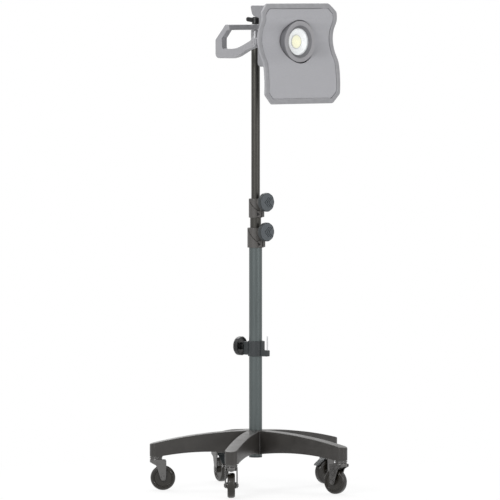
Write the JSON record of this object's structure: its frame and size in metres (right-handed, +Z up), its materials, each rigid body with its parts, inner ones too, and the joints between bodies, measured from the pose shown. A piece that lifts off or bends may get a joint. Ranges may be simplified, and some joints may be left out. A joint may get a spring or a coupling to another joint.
{
  "type": "work light stand",
  "caption": "Battery work light with a curved face on a bail handle, held by a telescopic mast with clamp collars, a cable hook and a star base on swivel castors.",
  "frame": {"origin": "on the floor under the middle of the base's outline, so the mast stands 24 mm towards -X and 5 mm towards +Y", "axes": "+Z up along the mast, -Y the way the light and both lock knobs face, +X to the right of someone standing behind the light"},
  "size_m": [0.5947, 0.6099, 1.4623],
  "materials": {
    "charcoal_casting": "charcoal powder coat on cast aluminium, fine texture",
    "anodised_tube": "dark grey anodised, drawn tube",
    "dark_tube": "darker bronze-grey anodised, drawn tube",
    "black_plastic": "moulded black nylon, fine spark texture",
    "slate_plastic": "moulded slate grey grip",
    "bright_steel": "zinc plated",
    "dark_steel": "dark coated pressed steel",
    "wheel_plastic": "dark moulded wheel centre",
    "tread_rubber": "soft dark tread",
    "light_grey_plastic": "light grey moulding, satin",
    "mid_grey_plastic": "mid grey moulding, satin",
    "grey_rubber": "soft grey bumper",
    "grey_metal": "grey coated turned piece",
    "white_nylon": "plain white nylon",
    "white_reflector": "glossy white",
    "clear_lens": "clear, polished",
    "led_yellow": "yellow phosphor disc on a metal base",
    "plain_aluminium": "as extruded"
  },
  "bodies": {
    "base": {"base_casting": "charcoal_casting", "mast_foot_plug": "black_plastic", "lower_tube": "anodised_tube", "lower_collar": "black_plastic", "lower_pinch_bolt": "dark_steel", "lower_brake_shoe": "white_nylon", "castor_1_stem": "dark_steel", "castor_2_stem": "dark_steel", "castor_3_stem": "dark_steel", "castor_4_stem": "dark_steel", "castor_5_stem": "dark_steel"},
    "mid_section": {"mid_tube": "anodised_tube", "mid_foot_bush": "white_nylon", "upper_collar": "black_plastic", "upper_pinch_bolt": "dark_steel", "upper_brake_shoe": "white_nylon"},
    "upper_section": {"upper_tube": "dark_tube", "upper_foot_bush": "white_nylon", "top_adapter": "grey_metal"},
    "lower_knob": {"lower_lock_knob": "slate_plastic"},
    "upper_knob": {"upper_lock_knob": "slate_plastic"},
    "hook": {"hook_clamp": "black_plastic", "hook_pin": "bright_steel"},
    "hook_grip": {"hook_knob": "slate_plastic"},
    "wing": {"wing_knob": "black_plastic"},
    "bail": {"bail_handle": "light_grey_plastic", "left_pivot_bolt": "dark_steel", "right_pivot_bolt": "dark_steel"},
    "light": {"front_panel": "light_grey_plastic", "bumper_frame": "grey_rubber", "bezel": "mid_grey_plastic", "lens": "clear_lens", "reflector": "white_reflector", "led_module": "led_yellow", "heat_sink": "plain_aluminium", "rear_housing": "light_grey_plastic"},
    "battery": {"battery_pack": "black_plastic"},
    "button": {"power_button": "black_plastic"},
    "castor_1": {"castor_1_fork": "dark_steel", "castor_1_axle": "bright_steel"},
    "wheel_1": {"castor_1_wheel_core": "wheel_plastic", "castor_1_tyre": "tread_rubber"},
    "brake_1": {"castor_1_brake_pedal": "black_plastic"},
    "castor_2": {"castor_2_fork": "dark_steel", "castor_2_axle": "bright_steel"},
    "wheel_2": {"castor_2_wheel_core": "wheel_plastic", "castor_2_tyre": "tread_rubber"},
    "brake_2": {"castor_2_brake_pedal": "black_plastic"},
    "castor_3": {"castor_3_fork": "dark_steel", "castor_3_axle": "bright_steel"},
    "wheel_3": {"castor_3_wheel_core": "wheel_plastic", "castor_3_tyre": "tread_rubber"},
    "castor_4": {"castor_4_fork": "dark_steel", "castor_4_axle": "bright_steel"},
    "wheel_4": {"castor_4_wheel_core": "wheel_plastic", "castor_4_tyre": "tread_rubber"},
    "castor_5": {"castor_5_fork": "dark_steel", "castor_5_axle": "bright_steel"},
    "wheel_5": {"castor_5_wheel_core": "wheel_plastic", "castor_5_tyre": "tread_rubber"}
  },
  "joints": [
    {"name": "mid_extension", "type": "slide", "parent": "base", "child": "mid_section", "axis": [0, 0, 1], "range_m": [-0.03, 0.48]},
    {"name": "upper_extension", "type": "slide", "parent": "mid_section", "child": "upper_section", "axis": [0, 0, 1], "range_m": [-0.45, 0.11]},
    {"name": "lower_knob_turn", "type": "hinge", "parent": "base", "child": "lower_knob", "pos_m": [-0.02415, -0.03231, 0.77722], "axis": [0, -1, 0], "range_deg": [0, 270]},
    {"name": "upper_knob_turn", "type": "hinge", "parent": "mid_section", "child": "upper_knob", "pos_m": [-0.02415, -0.03231, 0.86622], "axis": [0, -1, 0], "range_deg": [0, 270]},
    {"name": "hook_height", "type": "slide", "parent": "base", "child": "hook", "axis": [0, 0, 1], "range_m": [-0.15, 0.25]},
    {"name": "hook_knob_turn", "type": "hinge", "parent": "hook", "child": "hook_grip", "pos_m": [-0.03506, 0.05195, 0.431], "axis": [-0.225, 0.9744, 0], "range_deg": [0, 270]},
    {"name": "wing_knob_turn", "type": "hinge", "parent": "upper_section", "child": "wing", "pos_m": [-0.02415, 0.00469, 1.39882], "axis": [0, 0, 1], "range_deg": [0, 360]},
    {"name": "bail_pan", "type": "hinge", "parent": "upper_section", "child": "bail", "pos_m": [-0.02415, 0.00469, 1.39882], "axis": [0, 0, 1], "continuous": true},
    {"name": "light_tilt", "type": "hinge", "parent": "bail", "child": "light", "pos_m": [-0.02415, -0.11331, 1.34632], "axis": [1, 0, 0], "range_deg": [-30, 35]},
    {"name": "battery_release", "type": "slide", "parent": "light", "child": "battery", "axis": [0, 0, -1], "range_m": [0, 0.05]},
    {"name": "button_press", "type": "slide", "parent": "light", "child": "button", "axis": [0, -1, 0], "range_m": [0, 0.0015], "stiffness_N_per_m": 600},
    {"name": "castor_1_swivel", "type": "hinge", "parent": "base", "child": "castor_1", "pos_m": [0.27547, -0.01049, 0.094], "axis": [0, 0, 1], "continuous": true},
    {"name": "castor_1_roll", "type": "hinge", "parent": "castor_1", "child": "wheel_1", "pos_m": [0.25499, -0.00945, 0.0375], "axis": [0.0506, 0.9987, 0], "continuous": true},
    {"name": "castor_1_brake", "type": "hinge", "parent": "castor_1", "child": "brake_1", "pos_m": [0.2505, -0.00922, 0.084], "axis": [-0.0506, -0.9987, 0], "range_deg": [0, 3]},
    {"name": "castor_2_swivel", "type": "hinge", "parent": "base", "child": "castor_2", "pos_m": [0.08287, 0.28495, 0.094], "axis": [0, 0, 1], "continuous": true},
    {"name": "castor_2_roll", "type": "hinge", "parent": "castor_2", "child": "wheel_2", "pos_m": [0.07556, 0.2658, 0.0375], "axis": [-0.9342, 0.3567, 0], "continuous": true},
    {"name": "castor_2_brake", "type": "hinge", "parent": "castor_2", "child": "brake_2", "pos_m": [0.07395, 0.2616, 0.084], "axis": [0.9342, -0.3567, 0], "range_deg": [0, 3]},
    {"name": "castor_3_swivel", "type": "hinge", "parent": "base", "child": "castor_3", "pos_m": [-0.25762, 0.19308, 0.094], "axis": [0, 0, 1], "continuous": true},
    {"name": "castor_3_roll", "type": "hinge", "parent": "castor_3", "child": "wheel_3", "pos_m": [-0.24167, 0.18021, 0.0375], "axis": [-0.628, -0.7782, 0], "continuous": true},
    {"name": "castor_4_swivel", "type": "hinge", "parent": "base", "child": "castor_4", "pos_m": [-0.27547, -0.15914, 0.094], "axis": [0, 0, 1], "continuous": true},
    {"name": "castor_4_roll", "type": "hinge", "parent": "castor_4", "child": "wheel_4", "pos_m": [-0.26151, -0.14412, 0.0375], "axis": [0.7325, -0.6807, 0], "continuous": true},
    {"name": "castor_5_swivel", "type": "hinge", "parent": "base", "child": "castor_5", "pos_m": [0.054, -0.28495, 0.094], "axis": [0, 0, 1], "continuous": true},
    {"name": "castor_5_roll", "type": "hinge", "parent": "castor_5", "child": "wheel_5", "pos_m": [0.05041, -0.26477, 0.0375], "axis": [0.9845, 0.1754, 0], "continuous": true}
  ]
}
